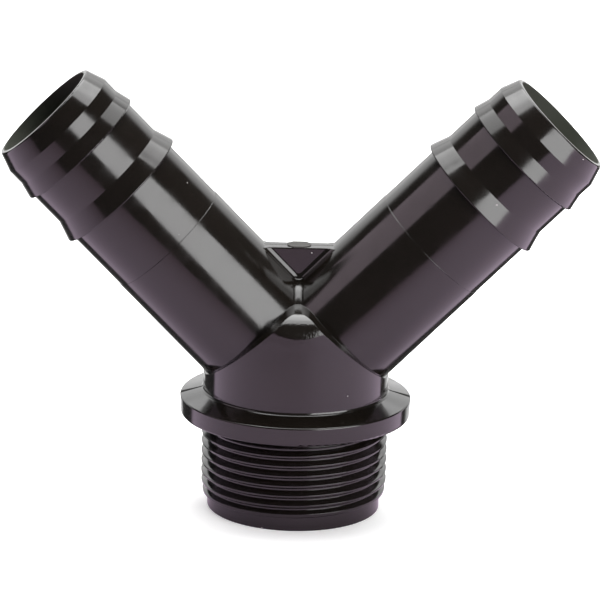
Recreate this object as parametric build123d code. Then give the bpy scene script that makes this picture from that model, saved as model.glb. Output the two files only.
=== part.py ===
"""A moulded tubing Y connector: a threaded stub, a collar and two barbed hose tails.

Millimetres, +Z up. The origin is the centre of the stub's bottom face, on the thread's axis.
The tails lean towards -X and +X. But for its thread, the part is the same on both sides.
"""

import os
from math import cos, radians, sin, tan

from build123d import *

os.makedirs("parts", exist_ok=True)

# Pipe thread, G 1 1/4, right-hand
thread_major_radius = 20.955
thread_pitch = 2.309
thread_depth = 1.479
thread_half_angle = 27.5
thread_crest_width = 0.36
# How far the ridge reaches into the stub that carries it
thread_sink = 0.1
thread_bottom_z = 3.3
thread_top_z = 19.6
# Height of one crest on the +X side, which sets where the thread starts round the stub
thread_crest_z = 6.9
# The crests are lower at the free end, so that a nut finds the thread
thread_taper_top_z = 6.6
thread_taper_angle = 8.0

# Stub below the collar
stub_radius = thread_major_radius - thread_depth
stub_edge = 0.3
stub_wall = 2.976
stub_bore_radius = stub_radius - stub_wall

# Collar
collar_radius = 26.0
collar_bottom_z = 21.8
collar_rim_z = 26.0
collar_top_z = 27.5
collar_top_edge = 0.4
collar_bottom_edge = 0.6

# Neck: an upright cylinder whose top is a roof, one side square to each tail
neck_radius = 20.8
neck_foot_fillet = 0.7
roof_distance = 14.0
roof_ridge_radius = 5.0
roof_end_radius = 5.6
neck_wall = 3.5
# The rounded ends cross the wall at a small angle, this far outside it, and the crossing is rounded
brow_overlap = 0.12
brow_fillet = 3.0
# How much narrower the chamber inside gets from the collar's top to the height of the neck's peak
chamber_draft = 0.3

# Tails
tail_angle = 44.5
crossing_z = 32.0
tail_length = 81.6
tail_bore_radius = 12.1
tail_root_radius = 14.87
tail_root_length = 41.8
tail_radius = 14.77
barb_gap_radius = 14.7
mouth_radius = 13.2
mouth_edge = 0.5
lead_in_length = 4.3
barb_edge = 0.25
# Each barb: distances from the mouth to its ramp's start and to its step, and its crest's radius
front_barb = (7.9, 11.7, 15.65)
rear_barb = (20.0, 24.7, 16.2)

# Web between the tails, with the mark of the mould's gate on it
web_thickness = 4.7
web_top_z = 60.9
web_edge = 0.35
gate_radius = 2.65
gate_height = 0.2

# Small fillets between the two tails, and between the tails and the web's faces
crease_fillet = 2.0
web_fillet = 1.5

lean = radians(tail_angle)


def turned(points, edges):
    """Turn a closed (radius, height) outline round Z, with its corners at some radii rounded."""
    with BuildPart() as solid:
        with BuildSketch(Plane.XZ) as profile:
            with BuildLine():
                Polyline(*points, close=True)
            make_face()
            for corner, edge in edges:
                near = profile.vertices().sort_by_distance((*corner, 0))[0]
                fillet(near, edge)
        revolve(axis=Axis.Z)
    return solid.part


def on_tail(solid, side):
    """Move a solid built along +Z from the origin onto the tail at that side, -1 or +1."""
    return Location((0, 0, crossing_z), (0, side * tail_angle, 0)) * solid


def tail_outside():
    """One tail's outer form, along +Z from the crossing of the axes."""
    front_start, front_step, front_radius = front_barb
    rear_start, rear_step, rear_radius = rear_barb
    front_crest = (front_radius, tail_length - front_step)
    rear_crest = (rear_radius, tail_length - rear_step)
    rim = (mouth_radius, tail_length)
    outline = [
        (0, 0),
        (tail_root_radius, 0),
        (tail_root_radius, tail_root_length),
        (tail_radius, tail_root_length),
        (tail_radius, tail_length - rear_step),
        rear_crest,
        (barb_gap_radius, tail_length - rear_start),
        (barb_gap_radius, tail_length - front_step),
        front_crest,
        (barb_gap_radius, tail_length - front_start),
        (barb_gap_radius, tail_length - lead_in_length),
        rim,
        (0, tail_length),
    ]
    return turned(outline, [(front_crest, barb_edge), (rear_crest, barb_edge), (rim, mouth_edge)])


def roof_prism(distance, ridge_radius, bottom_z):
    """The space under two planes, each square to a tail at that distance from the crossing."""
    peak_z = crossing_z + distance / cos(lean)
    eaves_x = neck_radius + 2
    eaves_z = peak_z - eaves_x * tan(lean)
    with BuildPart() as prism:
        with BuildSketch(Plane.XZ) as gable:
            with BuildLine():
                Polyline(
                    (-eaves_x, bottom_z),
                    (eaves_x, bottom_z),
                    (eaves_x, eaves_z),
                    (0, peak_z),
                    (-eaves_x, eaves_z),
                    close=True,
                )
            make_face()
            fillet(gable.vertices().sort_by(Axis.Y)[-1], ridge_radius)
        extrude(amount=neck_radius + 2, both=True)
    return prism.part


def ridge_top_z(distance, ridge_radius):
    """The height of the rounded ridge of such a roof."""
    return crossing_z + (distance - ridge_radius) / cos(lean) + ridge_radius


def blunt_cylinder(radius, overlap, end_radius, bottom_z, top_z):
    """An upright cylinder whose top is rounded off in front and behind, from that far outside its wall."""
    with BuildPart() as body:
        with BuildSketch(Plane.XY.offset(bottom_z)):
            Circle(radius)
        extrude(amount=top_z - bottom_z)
        with BuildSketch(Plane.YZ) as end:
            with Locations((0, (bottom_z + top_z) / 2)):
                Rectangle(2 * (radius + overlap), top_z - bottom_z)
            fillet(end.vertices().group_by(Axis.Y)[-1], end_radius)
        extrude(amount=radius + 1, both=True, mode=Mode.INTERSECT)
    return body.part


def neck():
    """The upright neck: a roof over a cylinder whose brow is rounded."""
    top_z = ridge_top_z(roof_distance, roof_ridge_radius)
    body = blunt_cylinder(neck_radius, brow_overlap, roof_end_radius, collar_bottom_z, top_z)
    brow = []
    for edge in body.edges():
        middle = edge.position_at(0.5)
        on_wall = abs(middle.X ** 2 + middle.Y ** 2 - neck_radius ** 2) < 0.01
        if on_wall and middle.Z > collar_top_z and edge.geom_type != GeomType.LINE:
            brow.append(edge)
    body = body.fillet(brow_fillet, brow)
    return body & roof_prism(roof_distance, roof_ridge_radius, collar_bottom_z)


def web():
    """The triangular web between the tails, reaching into both of them."""
    foot_z = crossing_z + roof_distance
    half_width = (web_top_z - foot_z) * tan(lean) * 0.8
    with BuildPart() as plate:
        with BuildSketch(Plane.XZ):
            with BuildLine():
                Polyline((-half_width, web_top_z), (half_width, web_top_z), (0, foot_z), close=True)
            make_face()
        extrude(amount=web_thickness / 2, both=True)
    return plate.part


def crease_edges(body):
    """The edges between the two tails, in front of the web and behind it."""
    found = []
    for edge in body.edges():
        middle = edge.position_at(0.5)
        beside_web = web_thickness / 2 < abs(middle.Y) < roof_distance
        if abs(middle.X) < 0.01 and beside_web and crossing_z + roof_distance < middle.Z < web_top_z:
            found.append(edge)
    return found


def web_edges(body):
    """The edges between the tails and the web's two faces."""
    found = []
    for edge in body.edges():
        middle = edge.position_at(0.5)
        on_face = abs(abs(middle.Y) - web_thickness / 2) < 0.01
        if on_face and abs(middle.X) > 1 and middle.Z < web_top_z - 0.1:
            found.append(edge)
    return found


def upper_body():
    """Neck, tails and web, with the fillets between them."""
    tail = tail_outside()
    body = neck() + on_tail(tail, -1) + on_tail(tail, 1) + web()
    body = body.fillet(crease_fillet, crease_edges(body))
    body = body.fillet(web_fillet, web_edges(body))
    long_edges = [
        e for e in body.edges()
        if abs(e.position_at(0.5).Z - web_top_z) < 0.01 and abs(e.tangent_at(0.5).X) > 0.9
    ]
    body = body.fillet(web_edge, long_edges)
    mark = Pos(0, 0, web_top_z) * Cylinder(gate_radius, 2 * gate_height)
    return body + (mark & Box(3 * gate_radius, web_thickness, 2 * web_top_z + 1))


def collar():
    """The collar, whose top slopes up to the foot of the neck, and the fillet between them."""
    top_rim = (collar_radius, collar_rim_z)
    bottom_rim = (collar_radius - 0.2, collar_bottom_z)
    neck_foot = (neck_radius, collar_top_z)
    inside_z = collar_top_z + 2 * neck_foot_fillet
    outline = [
        (0, collar_bottom_z),
        bottom_rim,
        top_rim,
        neck_foot,
        (neck_radius, inside_z),
        (0, inside_z),
    ]
    body = turned(outline, [(top_rim, collar_top_edge), (bottom_rim, collar_bottom_edge)])
    foot = body.edges().filter_by(GeomType.CIRCLE).sort_by_distance((neck_radius, 0, collar_top_z))[0]
    return body.fillet(neck_foot_fillet, [foot])


def thread_ridge():
    """The helical ridge of the thread, cut to its length and tapered at the free end."""
    sunk_radius = stub_radius - thread_sink
    crest_half = thread_crest_width / 2
    foot_half = crest_half + (thread_depth + thread_sink) * tan(radians(thread_half_angle))
    turns_below = 3
    start_z = thread_crest_z - turns_below * thread_pitch
    with BuildPart() as ridge:
        with BuildLine() as path:
            Helix(thread_pitch, thread_top_z - start_z + thread_pitch, stub_radius, (0, 0, start_z))
        with BuildSketch(Plane.XZ):
            with BuildLine():
                Polyline(
                    (sunk_radius, start_z - foot_half),
                    (thread_major_radius, start_z - crest_half),
                    (thread_major_radius, start_z + crest_half),
                    (sunk_radius, start_z + foot_half),
                    close=True,
                )
            make_face()
        sweep(path=path.wires()[0], is_frenet=True)
    slope = tan(radians(thread_taper_angle))
    low_radius = thread_major_radius - (thread_taper_top_z - thread_bottom_z) * slope
    clear_radius = thread_major_radius + 0.5
    envelope = turned(
        [
            (0, thread_bottom_z),
            (low_radius, thread_bottom_z),
            (clear_radius, thread_bottom_z + (clear_radius - low_radius) / slope),
            (clear_radius, thread_top_z),
            (0, thread_top_z),
        ],
        [],
    )
    return ridge.part & envelope


def stub():
    """The threaded stub below the collar."""
    bottom_rim = (stub_radius, 0)
    core = turned(
        [(0, 0), bottom_rim, (stub_radius, collar_rim_z), (0, collar_rim_z)],
        [(bottom_rim, stub_edge)],
    )
    return core + thread_ridge()


def chamber():
    """The stub's bore and, with a draft above the collar, the chamber that ends in a roof like the neck's."""
    below_z = -1
    peak_z = crossing_z + roof_distance / cos(lean)
    core = turned(
        [
            (0, below_z),
            (stub_bore_radius, below_z),
            (stub_bore_radius, collar_top_z),
            (stub_bore_radius - chamber_draft, peak_z),
            (0, peak_z),
        ],
        [],
    )
    ridge_radius = roof_ridge_radius - neck_wall
    top_z = ridge_top_z(roof_distance - neck_wall, ridge_radius)
    roof = roof_prism(roof_distance - neck_wall, ridge_radius, below_z)
    roofed = roof & blunt_cylinder(stub_bore_radius + 1, 0, roof_end_radius - neck_wall, below_z, top_z)
    return core & roofed


def passages():
    """The chamber and the bores of the two tails."""
    bore = Pos(0, 0, tail_length / 2) * Cylinder(tail_bore_radius, tail_length + 2)
    return chamber() + on_tail(bore, -1) + on_tail(bore, 1)


def y_connector():
    """The whole moulding."""
    return upper_body() + collar() + stub() - passages()


connector = y_connector()
export_step(connector, "parts/y_connector.step")
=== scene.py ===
"""A studio view of the tubing y connector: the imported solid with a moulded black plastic's finish."""

import math

import bpy
from mathutils import Matrix, Vector

# Camera, found by fitting the part's edges to the photo. Lengths in metres, angles in degrees
IMAGE_SIZE = 600
FOCAL_PIXELS = 4316.0
SENSOR_MM = 36.0
CAMERA_AT = (-0.01168, -0.92888, 0.31537)
CAMERA_AZIMUTH = 0.751
CAMERA_ELEVATION = 16.052
CAMERA_ROLL = 1.434
CLIP_START = 0.05
CLIP_END = 20.0

# The part's own dimensions that the finish follows
CROSSING_Z = 0.0320
TAIL_ANGLE = math.radians(44.5)
BORE_RADIUS = 0.0121
BORE_START = 0.015
THREAD_TOP_Z = 0.0200
WEB_TOP_Z = 0.0609
GATE_RADIUS = 0.00265

# Lamps. A strength is the brightness that a mirror would show, where 1 is white paper
SUBJECT = Vector((0, 0, 0.055))
KEY_STRENGTH = 5.8
KEY_SIDE = 0.62
KEY_AT = (42, 12, 0.75)
TOP_STRENGTH = 5.2
TOP_WIDTH = 1.10
TOP_DEPTH = 0.79
TOP_OFFSET = Vector((0, 0.24, 0.75))
CENTRE_WIDTH = 0.60
CENTRE_DROP = Vector((0, 0, 0.02))
CENTRE_SHARE = 0.44
PANEL_STRENGTH = 1.5
PANEL_WIDTH = 2.67
PANEL_HEIGHT = 0.75
PANEL_AT = (-82, 34, 3.0)
PANEL_COLOUR = (1.0, 0.82, 0.93)

# The room: three bright parts behind the object, in a dim rest. The ranges are of a ray's unit
# direction, and over each one the light comes up or goes down
DIM_STRENGTH = 0.08
BEHIND = (0.0, 0.2)
BACKDROP_STRENGTH = 1.4
BACKDROP_BACK = (0.50, 0.60)
BACKDROP_HEIGHTS = (-0.01, 0.02, 0.36, 0.46)
HIGH_STRENGTH = 2.0
HIGH_SIDES = (0.42, 0.54)
HIGH_FOOT = (0.34, 0.44)
LOW_STRENGTH = 1.2
LOW_TOP = (-0.02, 0.01)
LOW_SIDE_TURN = (-0.10, 0.10)
LOW_SIDES_LEFT_RIGHT = (0.34, 0.50)
LOW_SIDE_BLUR = 0.06
LOW_FOOT_TURN = (0.0, 0.08)
LOW_FEET_LEFT_RIGHT = (-0.48, -0.34)
LOW_FOOT_BLUR = 0.04

# The sheet on the table. Its far edge is near behind the part and runs back on both sides
TABLE_NEAR = -0.37
TABLE_FAR = 0.013
TABLE_WAIST = 0.0445
LEFT_SLOPE = 0.5
RIGHT_SLOPE = 0.85
EDGE_BLUR = 0.006
FLOOR_SIDE = 0.9
FLOOR_WHITE = (0.92, 0.92, 0.92, 1)

# What the plastic mirrors of the sheet, with painted light and shade: painted shade at its near end, painted
# light behind, and a painted pool of the key's light on the key's side
SHEET_NEAR_SHADED = (0.32, 0.235, 0.295, 1)
SHEET_FAR_LIT = (0.69, 0.56, 0.70, 1)
SHEET_KEY_LIT = (0.95, 0.80, 1.0, 1)
SHEET_FADE_END = 0.02
SHEET_FADE_POWER = 1.6
KEY_SIDE_FROM = (0.0, 0.10)
KEY_SIDE_SHARE = 0.42
MIRROR_GLOW = 0.35
CAMERA_GLOW = 0.35
CAMERA_GLOW_RANGE = (0.06, 0.25)

# The plastic's colours and gloss
DARK_PLASTIC = (0.0045, 0.0034, 0.0024, 1)
PALE_PLASTIC = (0.0085, 0.0068, 0.0054, 1)
# Painted light on the bores' walls: a paler colour than the plastic, to brighten walls that the lamps reach
# little
INSIDE_PAINTED_LIGHT = (0.040, 0.043, 0.033, 1)
GATE_COLOUR = (0.060, 0.058, 0.054, 1)
SPECK_COLOUR = (0.55, 0.53, 0.52, 1)
CLOUD_SCALE = 60.0
GLOSS_SCALE = 240.0
ROUGHNESS = (0.10, 0.17)
MATT_ROUGHNESS = 0.45
PLASTIC_IOR = 1.55
DULL_IOR_DROP = 0.53
PARTING_DULL = 0.95
GATE_DULL = 0.55
INSIDE_DULL = 0.45

# Edges too small to model, and dust
EDGE_ROUNDING = 0.00012
CREST_ROUNDING = 0.00020
SPECK_SPACING = 0.0075
SPECK_RADIUS = 0.00016

# The skin's relief: how fine each noise is, and its height in metres
SKIN_SCALE = 900.0
SKIN_HEIGHT = 0.0000022
WAVE_SCALE = 110.0
WAVE_HEIGHT = 0.0000120
TORN_SCALE = 2600.0
TORN_HEIGHT = 0.00022
BROW_SCALE = 1900.0
BROW_HEIGHT = 0.000085
BROW_STRETCH = (1.0, 1.0, 0.35)
BROW_SIDES = (0.006, 0.011)
BROW_FRONT = (0.0135, 0.0165)
BROW_HEIGHTS = (0.0415, 0.0440, 0.0475, 0.0490)

# The parting line: its ridge, its dark line's half width, and what the collar's top adds to that
RIDGE_HEIGHT = 0.00010
RIDGE_EDGE = (0.00006, 0.00020)
LINE_HALF_WIDTH = 0.00009
LINE_BLUR = 0.00004
COLLAR_TOP_HEIGHTS = (0.0257, 0.0261, 0.0280, 0.0290)
COLLAR_TOP_RADII = (0.021, 0.026)
COLLAR_TOP_EXTRA = (0.00026, 0.00070)

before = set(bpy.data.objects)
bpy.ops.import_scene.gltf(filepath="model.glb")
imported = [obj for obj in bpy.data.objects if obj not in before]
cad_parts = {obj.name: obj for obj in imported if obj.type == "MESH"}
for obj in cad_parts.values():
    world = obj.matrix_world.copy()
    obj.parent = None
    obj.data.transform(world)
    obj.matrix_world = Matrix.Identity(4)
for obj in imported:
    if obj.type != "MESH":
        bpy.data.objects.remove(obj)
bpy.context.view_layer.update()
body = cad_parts["y_connector"]


class Nodes:
    """Short calls for making and joining the nodes of one tree."""

    def __init__(self, tree):
        self.tree = tree
        tree.nodes.clear()

    def add(self, kind, inputs=None, **settings):
        node = self.tree.nodes.new(kind)
        for name, value in settings.items():
            setattr(node, name, value)
        for key, value in (inputs or {}).items():
            self.put(value, node.inputs[key])
        return node

    def put(self, value, socket):
        if isinstance(value, bpy.types.NodeSocket):
            self.tree.links.new(value, socket)
        else:
            socket.default_value = value

    def math(self, operation, *values):
        node = self.add("ShaderNodeMath", operation=operation)
        for value, socket in zip(values, node.inputs):
            self.put(value, socket)
        return node.outputs[0]

    def chain(self, operation, values):
        """One operation over some values, from left to right."""
        result = values[0]
        for value in values[1:]:
            result = self.math(operation, result, value)
        return result

    def times(self, *values):
        return self.chain("MULTIPLY", values)

    def plus(self, *values):
        return self.chain("ADD", values)

    def minus(self, first, second):
        return self.math("SUBTRACT", first, second)

    def either(self, *masks):
        """The largest of some masks."""
        return self.chain("MAXIMUM", masks)

    def unsigned(self, value):
        return self.math("ABSOLUTE", value)

    def length(self, first, second):
        """How far a point is from the middle, by its two coordinates."""
        return self.math("SQRT", self.plus(self.times(first, first), self.times(second, second)))

    def ramp(self, value, low, high, at_low=0.0, at_high=1.0):
        """A smooth change from one value to another while the input runs from low to high."""
        node = self.add("ShaderNodeMapRange", interpolation_type="SMOOTHSTEP")
        for name, setting in zip(("From Min", "From Max", "To Min", "To Max"), (low, high, at_low, at_high)):
            self.put(setting, node.inputs[name])
        self.put(value, node.inputs["Value"])
        return node.outputs[0]

    def fall(self, value, low, high):
        """1 below the range and 0 above it."""
        return self.ramp(value, low, high, 1.0, 0.0)

    def band(self, value, low, full, still, high):
        """1 from full to still, fading to 0 at low and at high."""
        return self.times(self.ramp(value, low, full), self.fall(value, still, high))

    def blend(self, amount, first, second):
        node = self.add("ShaderNodeMix", data_type="RGBA")
        self.put(amount, node.inputs[0])
        for value, socket in zip((first, second), node.inputs[6:8]):
            self.put(value, socket)
        return node.outputs[2]

    def position(self):
        """The point in the object's own coordinates, and its X, Y and Z."""
        point = self.add("ShaderNodeTexCoord").outputs["Object"]
        split = self.add("ShaderNodeSeparateXYZ", {0: point})
        return point, *split.outputs

    def noise(self, point, scale, detail):
        settings = {"Vector": point, "Scale": scale, "Detail": detail}
        return self.add("ShaderNodeTexNoise", settings).outputs[0]


def direction(azimuth, elevation):
    """The way from the subject, azimuth 0 towards the camera's side and 90 to the right."""
    a, e = math.radians(azimuth), math.radians(elevation)
    return Vector((math.sin(a) * math.cos(e), -math.cos(a) * math.cos(e), math.sin(e)))


def softbox(name, location, target, width, height, strength):
    """A square-edged area light that faces the target and whose mirror image has that strength."""
    data = bpy.data.lights.new(name, "AREA")
    data.shape = "RECTANGLE"
    data.size = width
    data.size_y = height
    data.energy = strength * math.pi * width * height
    lamp = bpy.data.objects.new(name, data)
    bpy.context.scene.collection.objects.link(lamp)
    lamp.location = location
    away = lamp.location - target
    lamp.rotation_euler = away.to_track_quat("Z", "Y").to_euler()
    return lamp


def add_camera():
    data = bpy.data.cameras.new("camera")
    data.sensor_width = SENSOR_MM
    data.lens = SENSOR_MM * FOCAL_PIXELS / IMAGE_SIZE
    data.clip_start = CLIP_START
    data.clip_end = CLIP_END
    camera = bpy.data.objects.new("camera", data)
    bpy.context.scene.collection.objects.link(camera)
    turn = (
        Matrix.Rotation(math.radians(-CAMERA_AZIMUTH), 4, "Z")
        @ Matrix.Rotation(math.radians(90 - CAMERA_ELEVATION), 4, "X")
        @ Matrix.Rotation(math.radians(CAMERA_ROLL), 4, "Z")
    )
    camera.matrix_world = Matrix.Translation(CAMERA_AT) @ turn
    bpy.context.scene.camera = camera


def add_lights():
    """A square softbox at the front right, a wide one overhead and a long panel far on the left.

    The one overhead is brighter in its middle, where a second lamp hangs below it. The two are
    kept apart, because lamps at the very same place lose light in reflections.
    """
    azimuth, elevation, distance = KEY_AT
    key_at = SUBJECT + direction(azimuth, elevation) * distance
    softbox("key_softbox", key_at, SUBJECT, KEY_SIDE, KEY_SIDE, KEY_STRENGTH)

    down = Vector((0, 0, -1))
    top_at = SUBJECT + TOP_OFFSET
    centre_at = top_at - CENTRE_DROP
    around = TOP_STRENGTH * (1 - CENTRE_SHARE)
    softbox("top_softbox", top_at, top_at + down, TOP_WIDTH, TOP_DEPTH, around)
    softbox("top_centre", centre_at, centre_at + down, CENTRE_WIDTH, TOP_DEPTH, TOP_STRENGTH * CENTRE_SHARE)

    azimuth, elevation, distance = PANEL_AT
    panel_at = SUBJECT + direction(azimuth, elevation) * distance
    panel = softbox("side_panel", panel_at, SUBJECT, PANEL_WIDTH, PANEL_HEIGHT, PANEL_STRENGTH)
    panel.data.color = PANEL_COLOUR


def add_world():
    """A wide backdrop, a high and a low panel behind the part, and a dim room. The camera sees white."""
    world = bpy.data.worlds.new("studio")
    bpy.context.scene.world = world
    world.use_nodes = True
    n = Nodes(world.node_tree)
    path = n.add("ShaderNodeLightPath")
    ray = n.add("ShaderNodeTexCoord").outputs["Generated"]
    to_right, back, up = n.add("ShaderNodeSeparateXYZ", {0: ray}).outputs
    sideways = n.unsigned(to_right)
    behind = n.ramp(back, *BEHIND)

    backdrop = n.times(n.ramp(back, *BACKDROP_BACK), n.band(up, *BACKDROP_HEIGHTS))
    high = n.times(behind, n.fall(sideways, *HIGH_SIDES), n.ramp(up, *HIGH_FOOT))

    low_side = n.ramp(to_right, *LOW_SIDE_TURN, *LOW_SIDES_LEFT_RIGHT)
    low_foot = n.ramp(to_right, *LOW_FOOT_TURN, *LOW_FEET_LEFT_RIGHT)
    within = n.fall(n.minus(sideways, low_side), -LOW_SIDE_BLUR, LOW_SIDE_BLUR)
    above_foot = n.ramp(n.minus(up, low_foot), -LOW_FOOT_BLUR, LOW_FOOT_BLUR)
    low = n.times(behind, within, above_foot, n.fall(up, *LOW_TOP))

    panels = n.either(
        n.times(backdrop, BACKDROP_STRENGTH),
        n.times(high, HIGH_STRENGTH),
        n.times(low, LOW_STRENGTH),
    )
    strength = n.either(path.outputs["Is Camera Ray"], n.plus(panels, DIM_STRENGTH))
    shader = n.add("ShaderNodeBackground", {"Strength": strength})
    shader.inputs["Color"].default_value = (1, 1, 1, 1)
    n.add("ShaderNodeOutputWorld", {"Surface": shader.outputs[0]})


def table_sheet():
    """White to the camera. The plastic mirrors it slightly purple, with painted shade at its near end and
    painted key light on its right side, and only as far as the table's edge.
    """
    material = bpy.data.materials.new("table_sheet")
    material.use_nodes = True
    n = Nodes(material.node_tree)
    path = n.add("ShaderNodeLightPath")
    to_camera = path.outputs["Is Camera Ray"]
    _, x, y, _ = n.position()

    # Painted light and shade on the sheet, seen only in the plastic: darker near the front, paler behind, and
    # lighter on the key's side
    fade = n.add("ShaderNodeMapRange", {"Value": y, "From Min": TABLE_NEAR, "From Max": SHEET_FADE_END})
    nearness = n.math("POWER", fade.outputs[0], SHEET_FADE_POWER)
    painted_sheet_light = n.blend(nearness, SHEET_NEAR_SHADED, SHEET_FAR_LIT)
    painted_key_light = n.times(n.ramp(x, *KEY_SIDE_FROM), n.minus(1.0, nearness))
    painted_sheet_light = n.blend(n.times(painted_key_light, KEY_SIDE_SHARE), painted_sheet_light, SHEET_KEY_LIT)
    colour = n.blend(to_camera, painted_sheet_light, FLOOR_WHITE)

    camera_glow = n.times(to_camera, n.ramp(n.length(x, y), *CAMERA_GLOW_RANGE, CAMERA_GLOW))
    reflected = n.either(path.outputs["Is Glossy Ray"], path.outputs["Is Transmission Ray"])
    strength = n.either(camera_glow, n.times(reflected, MIRROR_GLOW))
    matt = n.add("ShaderNodeBsdfDiffuse", {"Color": colour})
    glow = n.add("ShaderNodeEmission", {"Color": colour, "Strength": strength})
    sheet = n.add("ShaderNodeAddShader", {0: matt.outputs[0], 1: glow.outputs[0]})

    right_edge = n.times(n.minus(x, TABLE_WAIST), RIGHT_SLOPE)
    left_edge = n.times(n.plus(x, TABLE_WAIST), -LEFT_SLOPE)
    far_edge = n.plus(n.either(left_edge, right_edge, 0.0), TABLE_FAR)
    past_edge = n.ramp(n.minus(y, far_edge), -EDGE_BLUR, EDGE_BLUR)
    open_air = n.times(past_edge, n.minus(1.0, to_camera))
    clear = n.add("ShaderNodeBsdfTransparent")
    surface = n.add("ShaderNodeMixShader", {0: open_air, 1: sheet.outputs[0], 2: clear.outputs[0]})
    n.add("ShaderNodeOutputMaterial", {"Surface": surface.outputs[0]})
    return material


def add_floor():
    near, far, side = TABLE_NEAR, FLOOR_SIDE, FLOOR_SIDE
    mesh = bpy.data.meshes.new("floor")
    mesh.from_pydata([(-side, near, 0), (side, near, 0), (side, far, 0), (-side, far, 0)], [], [(0, 1, 2, 3)])
    floor = bpy.data.objects.new("floor", mesh)
    bpy.context.scene.collection.objects.link(floor)
    mesh.materials.append(table_sheet())


def inside_mask(n, x, y, z):
    """1 on the walls of the tails' bores, 0 on the outside."""
    sideways = n.unsigned(x)
    up = n.minus(z, CROSSING_Z)
    along = n.plus(n.times(sideways, math.sin(TAIL_ANGLE)), n.times(up, math.cos(TAIL_ANGLE)))
    across = n.minus(n.times(sideways, math.cos(TAIL_ANGLE)), n.times(up, math.sin(TAIL_ANGLE)))
    near_axis = n.math("LESS_THAN", n.length(across, y), BORE_RADIUS + 0.0002)
    return n.times(near_axis, n.math("GREATER_THAN", along, BORE_START))


def gate_mask(n, x, y, z):
    """1 on the mark that the mould's gate left on the web."""
    near = n.math("LESS_THAN", n.length(x, y), GATE_RADIUS + 0.0001)
    return n.times(near, n.math("GREATER_THAN", z, WEB_TOP_Z - 0.0001))


def speck_mask(n, point):
    """1 on a few grains of dust."""
    cells = n.add("ShaderNodeTexVoronoi", {"Vector": point, "Scale": 1 / SPECK_SPACING})
    return n.math("LESS_THAN", cells.outputs["Distance"], SPECK_RADIUS / SPECK_SPACING)


def parting_mask(n, x, y, z):
    """1 on the line where the mould's halves met, which is widest on the collar's top, at its rim."""
    on_top = n.band(z, *COLLAR_TOP_HEIGHTS)
    extra = n.ramp(n.unsigned(x), *COLLAR_TOP_RADII, *COLLAR_TOP_EXTRA)
    half_width = n.plus(n.times(on_top, extra), LINE_HALF_WIDTH)
    return n.fall(n.minus(n.unsigned(y), half_width), 0.0, LINE_BLUR)


def brow_height(n, point, x, y, z):
    """Heights in metres of the coarse, streaky skin on the neck's brow, in front and behind."""
    middle = n.times(n.fall(n.unsigned(x), *BROW_SIDES), n.ramp(n.unsigned(y), *BROW_FRONT))
    brow = n.times(middle, n.band(z, *BROW_HEIGHTS))
    stretched = n.add("ShaderNodeVectorMath", {0: point, 1: BROW_STRETCH}, operation="MULTIPLY")
    return n.times(brow, n.noise(stretched.outputs[0], BROW_SCALE, 4.0), BROW_HEIGHT)


def skin_height(n, point, x, y, z, gate):
    """Heights in metres: a fine moulded skin, the brow, the parting line and the gate's torn surface."""
    fine = n.times(n.noise(point, SKIN_SCALE, 3.0), SKIN_HEIGHT)
    waves = n.times(n.noise(point, WAVE_SCALE, 1.0), WAVE_HEIGHT)
    ridge = n.ramp(n.unsigned(y), *RIDGE_EDGE, RIDGE_HEIGHT, 0.0)
    torn = n.times(gate, n.noise(point, TORN_SCALE, 4.0), TORN_HEIGHT)
    return n.plus(fine, waves, ridge, brow_height(n, point, x, y, z), torn)


def plastic():
    """Black moulded plastic, satin gloss, with dust, a parting line, and duller bores whose walls carry
    painted light.
    """
    material = bpy.data.materials.new("moulded_black_plastic")
    material.use_nodes = True
    n = Nodes(material.node_tree)
    point, x, y, z = n.position()
    inside = inside_mask(n, x, y, z)
    gate = gate_mask(n, x, y, z)
    specks = speck_mask(n, point)
    parting = parting_mask(n, x, y, z)

    colour = n.blend(n.noise(point, CLOUD_SCALE, 3.0), DARK_PLASTIC, PALE_PLASTIC)
    # Painted light: the bores' walls are painted paler than the plastic
    colour = n.blend(inside, colour, INSIDE_PAINTED_LIGHT)
    colour = n.blend(gate, colour, GATE_COLOUR)
    colour = n.blend(specks, colour, SPECK_COLOUR)

    roughness = n.ramp(n.noise(point, GLOSS_SCALE, 4.0), 0.3, 0.7, *ROUGHNESS)
    roughness = n.plus(roughness, n.times(n.either(inside, gate, specks), MATT_ROUGHNESS))
    dull = n.either(
        n.times(parting, PARTING_DULL),
        n.times(gate, GATE_DULL),
        n.times(inside, INSIDE_DULL),
    )
    index = n.minus(PLASTIC_IOR, n.times(dull, DULL_IOR_DROP))

    rounding = n.ramp(z, THREAD_TOP_Z, THREAD_TOP_Z + 0.001, CREST_ROUNDING, EDGE_ROUNDING)
    edges = n.add("ShaderNodeBevel", {"Radius": rounding}, samples=6)
    height = skin_height(n, point, x, y, z, gate)
    bump = n.add("ShaderNodeBump", {"Height": height, "Normal": edges.outputs[0], "Distance": 1.0})
    shader = n.add("ShaderNodeBsdfPrincipled", {
        "Base Color": colour,
        "Roughness": roughness,
        "IOR": index,
        "Normal": bump.outputs[0],
    })
    n.add("ShaderNodeOutputMaterial", {"Surface": shader.outputs[0]})
    return material


def finish_body():
    body.data.materials.clear()
    body.data.materials.append(plastic())


bpy.context.scene.view_settings.view_transform = "Standard"
add_camera()
add_lights()
add_world()
add_floor()
finish_body()
